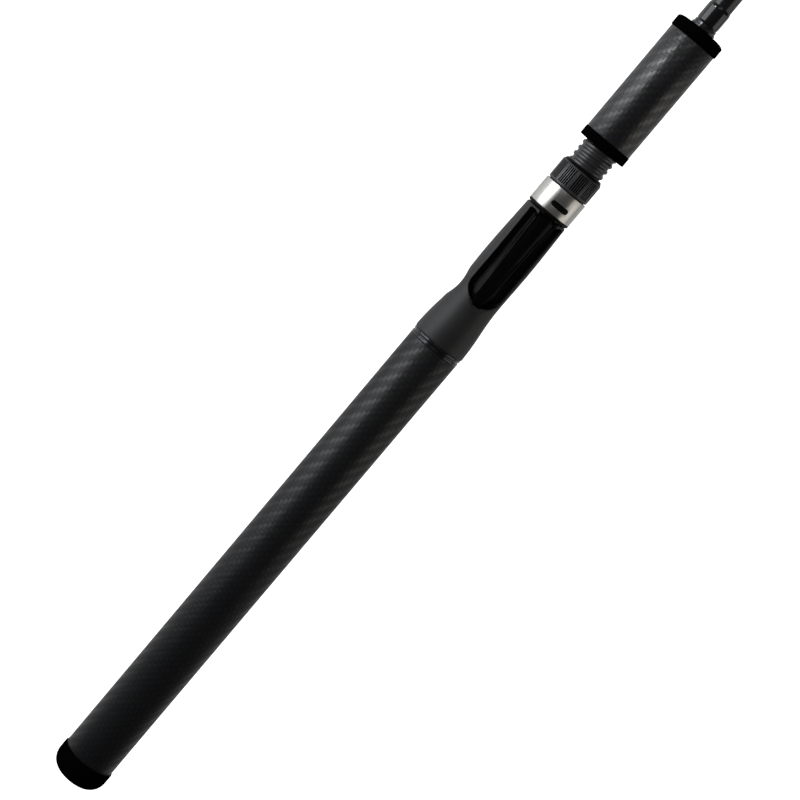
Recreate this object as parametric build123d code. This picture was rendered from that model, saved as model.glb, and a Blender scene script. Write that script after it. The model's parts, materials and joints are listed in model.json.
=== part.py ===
from build123d import *
import os
from math import cos, pi, radians, sin

os.makedirs("parts", exist_ok=True)

# Spinning rod, lying along X: the butt end face is at x = 0 and the line runs towards +X.
# +Z is the side that the reel foot and the guides face. Millimetres.

# ---- fits ----
SLIDE_FIT = 0.08      # radial clearance of a part that turns or slides on another
THREAD_FIT = 0.15     # radial clearance of the nut's bore on the barrel's thread
BODY_GAP = 0.3        # gap between bodies that move past each other
FERRULE_FIT = 0.03    # radial clearance of the ferrule's cones
OVER = 1.0            # how far a cutter runs past the piece it cuts

# ---- blank ----
BLANK_START = 6.0
BLANK_BUTT_R = 6.75
BLANK_HANDLE_R = 5.85
BLANK_END_R = 4.1
BLANK_WALL = 1.3
ROD_LENGTH = 2134.0
FERRULE_X = 1035.0
FERRULE_OVERLAP = 70.0
FERRULE_WALL = 0.9
TIP_R = 1.1
TIP_WALL = 0.65
TIP_SHORTFALL = 6.0   # the blank ends this far behind the tip-top's ring

# ---- rear grip ----
CAP_LENGTH = 14.2
CAP_R = 14.9
CAP_FLAT_R = 5.2
CAP_ROUND = 9.0
GRIP_LENGTH = 276.3
GRIP_R = 14.25
GRIP_WALL = 1.0
TRIM_LENGTH = 3.5
TRIM_R = 14.3
TRIM_GROOVE_WIDTH = 0.8
TRIM_GROOVE_DEPTH = 0.7
TRIM_GROOVE_OFFSET = 1.3

# ---- reel seat ----
SEAT_LENGTH = 83.7
SEAT_BORE_R = 7.2
SEAT_REAR_R = 14.65
SEAT_SHOULDER_R = 12.75
SEAT_BARREL_R = 12.55
SEAT_FRONT_R = 11.85
SEAT_FRONT_ROUND = 0.9
SEAT_REAR_CHAMFER = 0.4
WAIST_X = 31.2        # from the seat's rear face
WAIST_R = 11.89       # circle that the fingers' waist follows
WAIST_OFFSET = 3.0    # and how far its centre is lifted towards the channel
WAIST_CURVE = 25.0
BED_R = 8.45          # the foot's bed, a cylinder on the rod's axis
BED_RELIEF = 0.5      # trough between the two ridges
RIDGE_WIDTH = 0.9
RIDGE_REAR_Y = 3.35
RIDGE_FRONT_Y = 5.87
CHANNEL_HALF_WIDTH = 10.0
CHANNEL_FLOOR_Z = 4.9
GROOVE_END_GAP = 1.4  # solid land between a groove's end and the seat's front face
GROOVE_ROUND = 2.4
SEAT_WALL = 0.9       # least wall between the grooves and the bore
MOUTH_X = 27.6        # inner edge of the fixed hood's mouth, from the seat's rear face
MOUTH_LENGTH = 8.5    # half axis of the mouth's round end
LIP_REACH = 3.7       # how far the bevelled lip runs back
LIP_SPREAD = 0.7
LIP_Z = 10.9
LIP_RISE = 2.2
POCKET_DEPTH = 10.5   # how far the pocket runs under the fixed hood
POCKET_ROOF_R = 11.2
POCKET_HALF_WIDTH = 7.4

# ---- thread, hood and nut ----
THREAD_PITCH = 3.5
THREAD_MAJOR_R = 9.85
THREAD_MINOR_R = 9.0
THREAD_ROOT_WIDTH = 2.5    # width of a ridge where it meets the barrel
THREAD_CREST_WIDTH = 1.1   # and at its top
BARREL_LENGTH = 41.2
KEYWAY_WIDTH = 3.0
KEYWAY_DEPTH = 1.3
HOOD_REST_GAP = 0.3
LIP_LENGTH = 1.7
LIP_CHAMFER = 0.6
LINER_R = 11.4
LINER_BORE_GAP = 0.3
FOOT_POCKET_LENGTH = 9.0
FOOT_POCKET_R = 11.0
SHELL_LENGTH = 12.8
SHELL_WALL = 0.7
SHELL_EDGE = 0.3      # chamfer of the shell's front edge
WINDOW_X = 3.4        # from the shell's rear edge
WINDOW_WIDTH = 3.0
WINDOW_ARC = 50.0
TAB_STEP = 0.25       # the liner's tab ends this far below the shell's face
TAB_ROOT = 0.3        # and starts this far inside the liner's face
NUT_GAP = 0.5
NUT_LENGTH = 13.2
NUT_R = 11.75
NUT_TAPER_LENGTH = 1.9
NUT_TAPER_R = 10.5
NUT_NECK_LENGTH = 3.0
NUT_NECK_R = 10.55
NUT_SNAP_R = 10.95
NUT_SNAP_LENGTH = 1.2
NUT_EDGE = 0.5        # chamfer of the nut's rear edge
NUT_END_EDGE = 0.4    # and of its front edge
KNURL_GROUPS = 10
KNURL_PER_GROUP = 5
KNURL_STEP = 5.6      # degrees
KNURL_WIDTH = 0.7
KNURL_DEPTH = 0.4
KNURL_START = 1.2
KNURL_LENGTH = 10.0

# ---- foregrip ----
FORE_RING_LENGTH = 5.3
FORE_RING_R = 13.45
FORE_LENGTH = 63.4
FORE_R = 13.2
FORE_WALL = 1.0
FRONT_RING_STRAIGHT = 5.2
FRONT_RING_LENGTH = 7.0
FRONT_RING_R = 13.75
FRONT_RING_END_R = 8.3
EVA_ROUND = 0.6
CHECK_LENGTH = 3.2
CHECK_R = 6.95
CHECK_END_R = 6.35
CHECK_STEP = 0.5      # length of the slope between the check's two steps
CHECK_EDGE = 0.25     # rise of its front edge
WRAP_THICKNESS = 0.4
WRAP_EDGE = 0.1       # thickness of the resin where it feathers out
HANDLE_WRAP_LENGTH = 11.0
FERRULE_WRAP_LENGTH = 38.0

# ---- seat arbors ----
ARBOR_LENGTH = 12.0
ARBOR_PLACES = (6.0, 52.0, 105.0)   # from the seat's rear face

# ---- line guides: name, place, ring's outer and inner diameter, ring's height, feet ----
GUIDES = (
    ("stripper_guide", 966.0, 30.0, 24.6, 37.0, 2),
    ("second_guide", 1258.0, 20.0, 15.6, 27.0, 2),
    ("third_guide", 1499.0, 16.0, 12.2, 21.0, 2),
    ("fourth_guide", 1702.0, 12.0, 8.6, 14.0, 1),
    ("fifth_guide", 1867.0, 10.0, 6.9, 11.0, 1),
    ("sixth_guide", 2007.0, 8.0, 5.5, 9.0, 1),
)
FOOT_THICKNESS = 1.1
FOOT_TOE = 0.35
HOLDER_WALL = 0.8
HOLDER_LIP = 0.5      # how much longer the holder is than its ring
TIP_RING = (8.0, 5.5)
TIP_RING_HEIGHT = 5.6
TIP_TUBE_LENGTH = 14.0
TIP_TUBE_WALL = 0.45
TIP_WRAP_LENGTH = 9.0
TIP_NOSE = 1.0        # length of the tube's closed, tapered end

# ---- places along the rod ----
GRIP_X = CAP_LENGTH
TRIM_X = GRIP_X + GRIP_LENGTH
SEAT_X = TRIM_X + TRIM_LENGTH
SEAT_END_X = SEAT_X + SEAT_LENGTH
BARREL_END_X = SEAT_END_X + BARREL_LENGTH
HOOD_X = SEAT_END_X + HOOD_REST_GAP
SHELL_X = HOOD_X + LIP_LENGTH
SHELL_END_X = SHELL_X + SHELL_LENGTH
NUT_X = SHELL_END_X + NUT_GAP
NUT_END_X = NUT_X + NUT_LENGTH
FORE_RING_X = BARREL_END_X
FORE_X = FORE_RING_X + FORE_RING_LENGTH
FRONT_RING_X = FORE_X + FORE_LENGTH
CHECK_X = FRONT_RING_X + FRONT_RING_LENGTH
HANDLE_WRAP_X = CHECK_X + CHECK_LENGTH
FERRULE_END_X = FERRULE_X + FERRULE_OVERLAP
BLANK_END_X = ROD_LENGTH - TIP_SHORTFALL
MOUTH_CENTRE_X = SEAT_X + MOUTH_X + MOUTH_LENGTH
SHELL_R = LINER_R + SHELL_WALL
FAR = 60.0            # reach of a cutter that passes right through


# ---- helpers ----
def turned(*profile):
    """Solid turned about the X axis from a closed outline of (x, radius) points."""
    return revolve(make_face(Plane.XZ * Polyline(*profile, close=True)), Axis.X)


def turned_from(wire):
    """Solid turned about the X axis from lines already drawn in (x, radius)."""
    return revolve(make_face(Plane.XZ * wire), Axis.X)


def bar(x0, x1, radius):
    """Round bar along X."""
    rod = Cylinder(radius, x1 - x0, align=(Align.CENTER, Align.CENTER, Align.MIN))
    return Pos(x0, 0, 0) * Rot(0, 90, 0) * rod


def tube(x0, x1, outer, inner):
    """Round tube along X."""
    return bar(x0, x1, outer) - bar(x0 - OVER, x1 + OVER, inner)


def strut(start, end, radius):
    """Round wire between two points with ball ends."""
    a, b = Vector(*start), Vector(*end)
    length = (b - a).length
    middle = Pos(0, length / 2)
    outline = middle * SlotCenterToCenter(length, 2 * radius, rotation=90)
    half = outline & (middle * Pos(radius, 0) * Rectangle(2 * radius, length + 4 * radius))
    return Plane(a, z_dir=b - a).location * revolve(Plane.XZ * half, Axis.Z)


def lerp(x, x0, x1, v0, v1):
    """Value at x on the straight line from (x0, v0) to (x1, v1)."""
    return v0 + (v1 - v0) * (x - x0) / (x1 - x0)


def plan_prism(points, z0, z1, rounds=()):
    """Upright prism over an outline in X and Y; rounds are (corner number, radius) pairs."""
    outline = make_face(Polyline(*points, close=True))
    for corner, radius in rounds:
        x, y = points[corner]
        outline = fillet(outline.vertices().sort_by_distance((x, y, 0))[0], radius)
    return extrude(Pos(0, 0, z0) * outline, z1 - z0)


def both_sides(part):
    """A part and its mirror image across the XZ plane."""
    return part + mirror(part, Plane.XZ)


def write(name, shape):
    """One STEP file for each node."""
    export_step(shape, f"parts/{name}.step")


# ---- blank ----
def butt_radius(x):
    """Outer radius of the butt section."""
    if x < HANDLE_WRAP_X:
        return lerp(x, BLANK_START, HANDLE_WRAP_X, BLANK_BUTT_R, BLANK_HANDLE_R)
    return lerp(x, HANDLE_WRAP_X, FERRULE_END_X, BLANK_HANDLE_R, BLANK_END_R)


def tip_radius(x):
    """Outer radius of the tip section."""
    start_r = butt_radius(FERRULE_X) + FERRULE_FIT + FERRULE_WALL
    return lerp(x, FERRULE_X, BLANK_END_X, start_r, TIP_R)


def blank_radius(x):
    """Outer radius of whichever section shows at x."""
    return butt_radius(x) if x < FERRULE_X else tip_radius(x)


def blank_envelope(x0, x1, grow=0.0):
    """The outside of the blank between two places, straight from one to the other."""
    stops = [x0] + [x for x in (HANDLE_WRAP_X,) if x0 < x < x1] + [x1]
    outline = [(x, blank_radius(x) + grow) for x in stops]
    return turned((x0, 0), *outline, (x1, 0))


def butt_section():
    """Butt half of the blank, from the butt cap to the end of the ferrule."""
    stops = (BLANK_START, HANDLE_WRAP_X, FERRULE_END_X)
    outer = [(x, butt_radius(x)) for x in stops]
    inner = [(x, butt_radius(x) - BLANK_WALL) for x in reversed(stops)]
    return turned(*outer, *inner)


def tip_section():
    """Tip half of the blank, whose thick end slips over the butt section."""
    socket_r = butt_radius(FERRULE_X) + FERRULE_FIT
    socket_end_r = butt_radius(FERRULE_END_X) + FERRULE_FIT
    end_r = tip_radius(BLANK_END_X)
    return turned(
        (FERRULE_X, socket_r),
        (FERRULE_X, tip_radius(FERRULE_X)),
        (BLANK_END_X, end_r),
        (BLANK_END_X, end_r - TIP_WALL),
        (FERRULE_END_X + 2.0, tip_radius(FERRULE_END_X) - BLANK_WALL),
        (FERRULE_END_X + BODY_GAP, socket_end_r),
        (FERRULE_END_X, socket_end_r),
    )


# ---- rear grip ----
def butt_cap():
    """Foam cap glued over the blank's end and the grip's."""
    face = Line((0, 0), (0, CAP_FLAT_R))
    shoulder = Spline(
        (0, CAP_FLAT_R), (1.1, CAP_R - 5.5), (3.6, CAP_R - 2.3), (CAP_ROUND, CAP_R),
        tangents=((0, 1), (1, 0)),
    )
    side = Line((CAP_ROUND, CAP_R), (CAP_LENGTH, CAP_R))
    rest = Polyline((CAP_LENGTH, CAP_R), (CAP_LENGTH, 0), (0, 0))
    return turned_from(face + shoulder + side + rest) - blank_envelope(BLANK_START, CAP_LENGTH + OVER)


def grip_core(x0, x1, outer):
    """Rigid foam between the blank and a grip's sleeve."""
    return bar(x0, x1, outer) - blank_envelope(x0 - OVER, x1 + OVER)


def trim_ring():
    """Metal ring with one groove, between the rear grip and the seat."""
    groove_x = TRIM_X + TRIM_GROOVE_OFFSET
    groove = tube(groove_x, groove_x + TRIM_GROOVE_WIDTH, TRIM_R + 1, TRIM_R - TRIM_GROOVE_DEPTH)
    ring = bar(TRIM_X, SEAT_X, TRIM_R) - groove
    return ring - blank_envelope(TRIM_X - OVER, SEAT_X + OVER)


# ---- reel seat ----
def seat_shell():
    """Turned outside of the seat with its flared rear, before the waist and the channel."""
    rear = Polyline(
        (SEAT_X, 0), (SEAT_X, SEAT_REAR_R - SEAT_REAR_CHAMFER), (SEAT_X + SEAT_REAR_CHAMFER, SEAT_REAR_R)
    )
    side = Spline(
        (SEAT_X + SEAT_REAR_CHAMFER, SEAT_REAR_R),
        (SEAT_X + 11.2, SEAT_REAR_R - 0.6),
        (SEAT_X + 23.2, SEAT_SHOULDER_R),
        (SEAT_X + 47.0, SEAT_BARREL_R),
        (SEAT_END_X - SEAT_FRONT_ROUND, SEAT_FRONT_R),
        tangents=((1, -0.02), (1, -0.03)),
    )
    nose = RadiusArc(
        (SEAT_END_X - SEAT_FRONT_ROUND, SEAT_FRONT_R),
        (SEAT_END_X, SEAT_FRONT_R - SEAT_FRONT_ROUND),
        SEAT_FRONT_ROUND,
    )
    front = Polyline((SEAT_END_X, SEAT_FRONT_R - SEAT_FRONT_ROUND), (SEAT_END_X, 0), (SEAT_X, 0))
    return turned_from(rear + side + nose + front)


def waist_cutter():
    """Torus round the underside and flanks, for the fingers."""
    ring = Torus(WAIST_R + WAIST_CURVE, WAIST_CURVE)
    return Pos(SEAT_X + WAIST_X, 0, WAIST_OFFSET) * Rot(0, 90, 0) * ring


def mouth_outline(length, half_width, z):
    """Plan of the channel: a long slot with a round rear end, at height z."""
    centre = MOUTH_CENTRE_X
    end = Pos(centre, 0, z) * Ellipse(length, half_width)
    reach = SEAT_END_X + OVER - centre
    run = Pos(centre + reach / 2, 0, z) * Rectangle(reach, 2 * half_width)
    return end + run


def mouth_walls():
    """Space inside the channel's upright walls, above the grooves' floor."""
    outline = mouth_outline(MOUTH_LENGTH, CHANNEL_HALF_WIDTH, CHANNEL_FLOOR_Z)
    return extrude(outline, FAR - CHANNEL_FLOOR_Z)


def lip_cutter():
    """Bevel of the fixed hood's lip, opening upwards from just above the pocket."""
    low = mouth_outline(MOUTH_LENGTH, CHANNEL_HALF_WIDTH, LIP_Z)
    wide = CHANNEL_HALF_WIDTH + 2 * LIP_SPREAD
    high = mouth_outline(MOUTH_LENGTH + 2 * LIP_REACH, wide, LIP_Z + 2 * LIP_RISE)
    return loft([low.face(), high.face()], ruled=True)


def ridge_y(x):
    """Half distance between the two ridges of the bed."""
    return lerp(x, SEAT_X + MOUTH_X, SEAT_END_X - GROOVE_END_GAP, RIDGE_REAR_Y, RIDGE_FRONT_Y)


def bed_cutter(x0, x1, inset, radius, top):
    """Space over the bed between the ridges, from x0 to x1."""
    rear_y, front_y = ridge_y(x0) - inset, ridge_y(x1) - inset
    outline = [(x0, rear_y), (x1, front_y), (x1, -front_y), (x0, -rear_y)]
    return plan_prism(outline, 0, top) - bar(x0 - OVER, x1 + OVER, radius)


def groove_cutter():
    """The two grooves outside the ridges, each with a rounded front end."""
    x0 = SEAT_X + MOUTH_X - POCKET_DEPTH / 2
    x1 = SEAT_END_X - GROOVE_END_GAP
    outline = [(x0, ridge_y(x0)), (x1, ridge_y(x1)), (x1, CHANNEL_HALF_WIDTH), (x0, CHANNEL_HALF_WIDTH)]
    groove = plan_prism(outline, CHANNEL_FLOOR_Z, FAR, rounds=((1, GROOVE_ROUND), (2, GROOVE_ROUND / 3)))
    return both_sides(groove) - bar(x0 - OVER, x1 + OVER, SEAT_BORE_R + SEAT_WALL)


def pocket_cutter():
    """Pocket under the fixed hood for the reel foot's rear end."""
    x0 = SEAT_X + MOUTH_X - POCKET_DEPTH
    x1 = MOUTH_CENTRE_X
    slab = Pos(x0, 0, 0) * Box(
        x1 - x0, 2 * POCKET_HALF_WIDTH, FAR, align=(Align.MIN, Align.CENTER, Align.MIN)
    )
    return (slab & bar(x0, x1, POCKET_ROOF_R)) - bar(x0 - OVER, x1 + OVER, BED_R)


def thread_rings(x0, x1):
    """Bar with its thread drawn as rings, one ridge to a pitch."""
    outline = []
    centre = x0 + THREAD_PITCH / 2
    while centre + THREAD_ROOT_WIDTH / 2 < x1:
        outline += [
            (centre - THREAD_ROOT_WIDTH / 2, THREAD_MINOR_R),
            (centre - THREAD_CREST_WIDTH / 2, THREAD_MAJOR_R),
            (centre + THREAD_CREST_WIDTH / 2, THREAD_MAJOR_R),
            (centre + THREAD_ROOT_WIDTH / 2, THREAD_MINOR_R),
        ]
        centre += THREAD_PITCH
    return turned((x0, 0), (x0, THREAD_MINOR_R), *outline, (x1, THREAD_MINOR_R), (x1, 0))


def barrel():
    """Threaded barrel ahead of the seat, with the keyway that stops the hood from turning."""
    keyway = Pos(SEAT_END_X, 0, KEYWAY_DEPTH - THREAD_MAJOR_R) * Box(
        BARREL_LENGTH + OVER, KEYWAY_WIDTH, FAR, align=(Align.MIN, Align.CENTER, Align.MAX)
    )
    return thread_rings(SEAT_END_X, BARREL_END_X) - keyway


def reel_seat_body():
    """Moulded seat: flared rear with the fixed hood, channel with its ridged bed, threaded barrel."""
    bed_start = SEAT_X + MOUTH_X - POCKET_DEPTH
    trough_end = HOOD_X + LIP_LENGTH + FOOT_POCKET_LENGTH
    walls = mouth_walls()
    shell = seat_shell() - waist_cutter() - lip_cutter() - pocket_cutter()
    shell = shell - (groove_cutter() & walls)
    shell = shell - (bed_cutter(bed_start, SEAT_END_X + OVER, 0, BED_R, FAR) & walls)
    foot_run = bed_cutter(SEAT_END_X, trough_end, 0, BED_R, FAR)
    trough = bed_cutter(bed_start + 1, trough_end, RIDGE_WIDTH, BED_R - BED_RELIEF, POCKET_ROOF_R)
    body = shell + (barrel() - foot_run) - trough
    return body - bar(SEAT_X - OVER, BARREL_END_X + OVER, SEAT_BORE_R)


def seat_arbors():
    """Fibre bushes that centre the seat on the blank."""
    arbors = [
        bar(SEAT_X + place, SEAT_X + place + ARBOR_LENGTH, SEAT_BORE_R)
        - blank_envelope(SEAT_X + place - OVER, SEAT_X + place + ARBOR_LENGTH + OVER)
        for place in ARBOR_PLACES
    ]
    return Compound(children=[a.solid() for a in arbors])


# ---- sliding hood ----
def arc_sector(x0, x1, outer, half_angle):
    """Wedge about +Z between two places."""
    y = 2 * outer * sin(radians(half_angle))
    z = 2 * outer * cos(radians(half_angle))
    wedge = make_face(Plane.YZ * Polyline((0, 0), (y, z), (-y, z), close=True))
    return (Pos(x0, 0, 0) * extrude(wedge, x1 - x0, dir=(1, 0, 0))) & bar(x0, x1, outer)


def window_cutter(outer):
    """Oblong window's volume about +Z: rounded ends, out to a radius."""
    half_arc = WINDOW_ARC / 2 - 180 / pi * WINDOW_WIDTH / 2 / SHELL_R
    centre_x = SHELL_X + WINDOW_X + WINDOW_WIDTH / 2
    radius = WINDOW_WIDTH / 2
    straight = arc_sector(centre_x - radius, centre_x + radius, outer, half_arc)
    ends = Part()
    for side in (-1, 1):
        peg = Pos(centre_x, 0, 0) * Rot(-side * half_arc, 0, 0) * Cylinder(
            radius, FAR, align=(Align.CENTER, Align.CENTER, Align.MIN)
        )
        ends = ends + (peg & bar(centre_x - radius - OVER, centre_x + radius + OVER, outer))
    return straight + ends


def hood_shell():
    """Steel band round the hood, with its oblong window."""
    shell = turned(
        (SHELL_X, LINER_R), (SHELL_X, SHELL_R), (SHELL_END_X - SHELL_EDGE, SHELL_R),
        (SHELL_END_X, SHELL_R - SHELL_EDGE), (SHELL_END_X, LINER_R),
    )
    return shell - window_cutter(SHELL_R + OVER)


def foot_pocket():
    """Space inside the hood for the reel foot's front end."""
    foot_end = HOOD_X + LIP_LENGTH + FOOT_POCKET_LENGTH
    width = 2 * (ridge_y(SEAT_END_X) + BODY_GAP)
    slab = Pos(HOOD_X - OVER, 0, 0) * Box(
        foot_end - HOOD_X + OVER, width, FAR, align=(Align.MIN, Align.CENTER, Align.MIN)
    )
    return slab & bar(HOOD_X - OVER, foot_end, FOOT_POCKET_R)


def neck_space():
    """Space in the hood's front end for the nut's neck and its snap ring."""
    rear_x = NUT_X - NUT_NECK_LENGTH
    bore_r = THREAD_MAJOR_R - OVER
    neck = tube(rear_x - BODY_GAP, SHELL_END_X, NUT_NECK_R + SLIDE_FIT, bore_r)
    return neck + tube(rear_x - BODY_GAP, rear_x + NUT_SNAP_LENGTH + BODY_GAP, NUT_SNAP_R + SLIDE_FIT, bore_r)


def hood_key():
    """Key that slides in the barrel's keyway and stops the hood from turning."""
    low = THREAD_MAJOR_R - KEYWAY_DEPTH + BODY_GAP
    length = NUT_X - NUT_NECK_LENGTH - BODY_GAP - HOOD_X
    return Pos(HOOD_X, 0, -low) * Box(
        length, KEYWAY_WIDTH - 2 * BODY_GAP, THREAD_MAJOR_R + OVER - low,
        align=(Align.MIN, Align.CENTER, Align.MAX),
    )


def hood_liner():
    """Moulded inside of the hood: chamfered lip, foot pocket, key, and the tab in the shell's window."""
    lip = turned(
        (HOOD_X, 0), (HOOD_X, SHELL_R - LIP_CHAMFER), (HOOD_X + LIP_CHAMFER, SHELL_R),
        (SHELL_X, SHELL_R), (SHELL_X, 0),
    )
    body = lip + bar(SHELL_X, SHELL_END_X - BODY_GAP, LINER_R)
    body = body - bar(HOOD_X - OVER, SHELL_END_X, THREAD_MAJOR_R + LINER_BORE_GAP) - foot_pocket()
    tab = window_cutter(SHELL_R - TAB_STEP) - bar(HOOD_X, SHELL_END_X, LINER_R - TAB_ROOT)
    return body + tab + hood_key() - neck_space()


# ---- lock nut ----
def knurl_cutter():
    """Groups of fine grooves with a smooth rib between one group and the next."""
    groove = Pos(NUT_X + KNURL_START, 0, NUT_R - KNURL_DEPTH) * Box(
        KNURL_LENGTH, KNURL_WIDTH, 2 * KNURL_DEPTH, align=(Align.MIN, Align.CENTER, Align.MIN)
    )
    first = -KNURL_STEP * (KNURL_PER_GROUP - 1) / 2
    turns = [
        360 / KNURL_GROUPS * group + first + KNURL_STEP * step
        for group in range(KNURL_GROUPS)
        for step in range(KNURL_PER_GROUP)
    ]
    return [Rot(turn, 0, 0) * groove for turn in turns]


def lock_nut():
    """Knurled nut with the neck that snaps into the hood and turns there."""
    neck_x = NUT_X - NUT_NECK_LENGTH
    blank = turned(
        (neck_x, 0),
        (neck_x, NUT_SNAP_R),
        (neck_x + NUT_SNAP_LENGTH, NUT_SNAP_R),
        (neck_x + NUT_SNAP_LENGTH, NUT_NECK_R),
        (NUT_X, NUT_NECK_R),
        (NUT_X, NUT_R - NUT_EDGE),
        (NUT_X + NUT_EDGE, NUT_R),
        (NUT_END_X - NUT_TAPER_LENGTH, NUT_R),
        (NUT_END_X - NUT_END_EDGE, NUT_TAPER_R + NUT_END_EDGE),
        (NUT_END_X, NUT_TAPER_R),
        (NUT_END_X, 0),
    )
    return blank - knurl_cutter() - bar(neck_x - OVER, NUT_END_X + OVER, THREAD_MAJOR_R + THREAD_FIT)


# ---- foregrip ----
def fore_rear_ring():
    """Foam ring behind the foregrip's sleeve."""
    ring = bar(FORE_RING_X, FORE_X, FORE_RING_R)
    ring = fillet(ring.edges().filter_by(GeomType.CIRCLE), EVA_ROUND)
    return ring - blank_envelope(FORE_RING_X - OVER, FORE_X + OVER)


def fore_front_ring():
    """Foam ring with the rounded nose that ends the foregrip."""
    straight_x = FRONT_RING_X + FRONT_RING_STRAIGHT
    side = Polyline(
        (FRONT_RING_X, 0),
        (FRONT_RING_X, FRONT_RING_R - EVA_ROUND / 2),
        (FRONT_RING_X + EVA_ROUND / 2, FRONT_RING_R),
        (straight_x, FRONT_RING_R),
    )
    nose = Spline(
        (straight_x, FRONT_RING_R), (CHECK_X, FRONT_RING_END_R), tangents=((1, -0.7), (0.35, -1))
    )
    face = Polyline((CHECK_X, FRONT_RING_END_R), (CHECK_X, 0), (FRONT_RING_X, 0))
    return turned_from(side + nose + face) - blank_envelope(FRONT_RING_X - OVER, CHECK_X + OVER)


def winding_check():
    """Stepped metal ring between the foregrip and the thread."""
    step_x = CHECK_X + CHECK_LENGTH / 3
    ring = turned(
        (CHECK_X, 0),
        (CHECK_X, CHECK_R),
        (step_x, CHECK_R),
        (step_x + CHECK_STEP, CHECK_END_R + CHECK_EDGE),
        (HANDLE_WRAP_X - CHECK_EDGE, CHECK_END_R + CHECK_EDGE),
        (HANDLE_WRAP_X, CHECK_END_R),
        (HANDLE_WRAP_X, 0),
    )
    return ring - blank_envelope(CHECK_X - OVER, HANDLE_WRAP_X + OVER)


def thread_wrap(x0, x1):
    """Thread under resin round the blank, feathered at both ends."""
    feather = 4 * WRAP_THICKNESS
    outline = [
        (x0, blank_radius(x0) + WRAP_EDGE), (x0 + feather, blank_radius(x0 + feather) + WRAP_THICKNESS),
        (x1 - feather, blank_radius(x1 - feather) + WRAP_THICKNESS), (x1, blank_radius(x1) + WRAP_EDGE),
    ]
    return turned((x0, 0), *outline, (x1, 0)) - blank_envelope(x0 - OVER, x1 + OVER)


# ---- line guides ----
def foot(x_toe, x_heel, width):
    """Flat foot on top of the blank, thin at the toe and full at the heel."""
    low = blank_radius(max(x_toe, x_heel)) / 2
    side = Polyline(
        (x_toe, low), (x_toe, blank_radius(x_toe) + FOOT_TOE),
        (x_heel, blank_radius(x_heel) + FOOT_THICKNESS), (x_heel, low), close=True,
    )
    return extrude(make_face(Plane.XZ * side), width / 2, both=True)


def ring_depth(outer, inner):
    """Length of a ceramic ring along the rod."""
    return 1.0 + 0.45 * (outer - inner) / 2


def guide_ring(x, height, outer, inner):
    """Ceramic ring with a rounded bore, held at its outer face."""
    half = ring_depth(outer, inner) / 2
    crown = inner / 2 + (outer - inner) / 4
    rim = Polyline((x + half, crown), (x + half, outer / 2), (x - half, outer / 2), (x - half, crown))
    bore = ThreePointArc((x - half, crown), (x, inner / 2), (x + half, crown))
    return Pos(0, 0, height) * turned_from(rim + bore)


def wire_radius(outer):
    """Radius of the frame's wire for a ring size."""
    return 0.35 + 0.02 * outer


def foot_width(outer):
    """Width of the feet for a ring size."""
    return 1.6 + 0.05 * outer


def leg_spread(outer):
    """Distance along the rod from the ring to a foot's heel."""
    return 3.0 + 0.35 * outer


def foot_length(outer):
    """Length of a foot for a ring size."""
    return 7.5 + 0.25 * outer


def ring_side(x, height, outer, below):
    """Point on the holder, an angle below its widest line."""
    radius = outer / 2 + HOLDER_WALL / 2
    return x, radius * cos(radians(below)), height - radius * sin(radians(below))


def legs(heel_x, x, height, outer, below):
    """Two wires from a foot's heel to the sides of the ring holder."""
    radius = wire_radius(outer)
    start = (heel_x, foot_width(outer) / 2 - radius / 2, blank_radius(heel_x) + FOOT_THICKNESS - radius / 2)
    return both_sides(strut(start, ring_side(x, height, outer, below), radius))


def ring_holder(x, height, outer, depth):
    """Band round the ceramic ring."""
    return Pos(0, 0, height) * bar(x - depth / 2, x + depth / 2, outer / 2 + HOLDER_WALL)


def guide_frame(x, outer, inner, height, feet):
    """Guide frame: band, wire legs and one or two feet."""
    depth = ring_depth(outer, inner) + HOLDER_LIP
    spread, length, width = leg_spread(outer), foot_length(outer), foot_width(outer)
    frame = ring_holder(x, height, outer, depth)
    rear_heel = x - spread
    frame = frame + foot(rear_heel - length, rear_heel, width) + legs(rear_heel, x, height, outer, 8)
    if feet == 2:
        front_heel = x + spread
        frame = frame + foot(front_heel + length, front_heel, width) + legs(front_heel, x, height, outer, 55)
    frame = frame - Pos(0, 0, height) * bar(x - spread, x + spread, outer / 2)
    return frame - blank_envelope(x - spread - length - 2, x + spread + length + 2)


def wrap_spans(x, outer, feet):
    """Where the thread covers the feet: from beyond the toe to just short of the heel."""
    spread, length = leg_spread(outer), foot_length(outer)
    over, short = 3.0, 2.0
    spans = [(x - spread - length - over, x - spread - short)]
    if feet == 2:
        spans.append((x + spread + short, x + spread + length + over))
    return spans


def guide_wraps(x, outer, feet, frame):
    """Resin-covered thread over each foot, with a mound above the foot."""
    half = foot_width(outer) / 2 + WRAP_THICKNESS
    wraps = []
    for x0, x1 in wrap_spans(x, outer, feet):
        crest = FOOT_THICKNESS + WRAP_THICKNESS
        side = Polyline(
            (x0 + 1, 0), (x0 + 1, blank_radius(x0 + 1) + WRAP_THICKNESS),
            (x0 + 3, blank_radius(x0 + 3) + crest), (x1 - 3, blank_radius(x1 - 3) + crest),
            (x1 - 1, blank_radius(x1 - 1) + WRAP_THICKNESS), (x1 - 1, 0), close=True,
        )
        mound = extrude(make_face(Plane.XZ * side), half, both=True)
        wrap = (thread_wrap(x0, x1) + mound) - blank_envelope(x0 - OVER, x1 + OVER) - frame
        wraps.append(wrap.solids().sort_by(SortBy.VOLUME)[-1])
    return Compound(children=wraps)


# ---- tip-top ----
def tip_ring_x():
    """Middle of the tip-top's ring, whose holder ends the rod."""
    return ROD_LENGTH - (ring_depth(*TIP_RING) + HOLDER_LIP) / 2


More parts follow.
